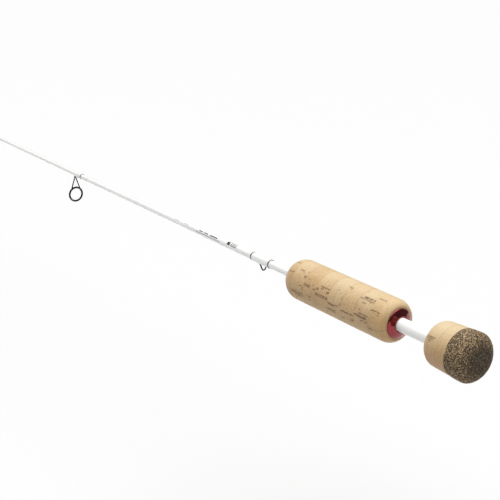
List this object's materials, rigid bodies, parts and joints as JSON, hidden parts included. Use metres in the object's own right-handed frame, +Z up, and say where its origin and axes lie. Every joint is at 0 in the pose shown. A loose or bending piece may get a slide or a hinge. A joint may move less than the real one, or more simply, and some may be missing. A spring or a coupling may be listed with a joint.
{
  "type": "ice fishing rod",
  "caption": "Short one-piece ice fishing rod with a slim white blank, single-foot wire guides, a cork grip with a tapered red metal check and a separate cork butt knob.",
  "frame": {"origin": "centre of the flat end face of the butt cap", "axes": "+X along the rod from the butt to the tip, +Z up, with the line guides hanging below the blank"},
  "size_m": [0.9144, 0.0304, 0.0415],
  "materials": {
    "white_gloss": "white gloss paint over a solid fibre blank, clear coated",
    "cork": "sanded natural cork, matt, with filled and open lenticels",
    "burl_cork": "rubberised burl cork, dark with tan specks, matt",
    "red_anodised": "bright red anodised, polished",
    "clear_coated_thread": "white thread wrap under clear gloss finish",
    "bronze_trim": "dark bronze metallic thread under clear gloss finish",
    "black_wire": "black plated stainless wire, satin",
    "black_ring": "polished black ceramic"
  },
  "bodies": {
    "root": {"blank": "white_gloss", "butt_sleeve": "white_gloss", "butt_cap": "burl_cork", "knob_cork_1": "cork", "knob_cork_2": "cork", "winding_check": "red_anodised", "grip_cork_1": "cork", "grip_cork_2": "cork", "grip_cork_3": "cork", "grip_cork_4": "cork", "grip_cork_5": "cork", "grip_cork_6": "cork", "grip_cork_7": "cork", "grip_cork_8": "cork", "hook_keeper": "black_wire", "keeper_wrap": "clear_coated_thread", "keeper_band_rear": "bronze_trim", "keeper_band_front": "bronze_trim", "guide_1_frame": "black_wire", "guide_1_ring": "black_ring", "guide_1_wrap": "clear_coated_thread", "guide_1_band": "bronze_trim", "guide_2_frame": "black_wire", "guide_2_ring": "black_ring", "guide_2_wrap": "clear_coated_thread", "guide_2_band": "bronze_trim", "guide_3_frame": "black_wire", "guide_3_ring": "black_ring", "guide_3_wrap": "clear_coated_thread", "guide_3_band": "bronze_trim", "guide_4_frame": "black_wire", "guide_4_ring": "black_ring", "guide_4_wrap": "clear_coated_thread", "guide_4_band": "bronze_trim", "tip_top_tube": "black_wire", "tip_top_frame": "black_wire", "tip_top_ring": "black_ring", "tip_top_wrap": "clear_coated_thread"}
  },
  "joints": []
}
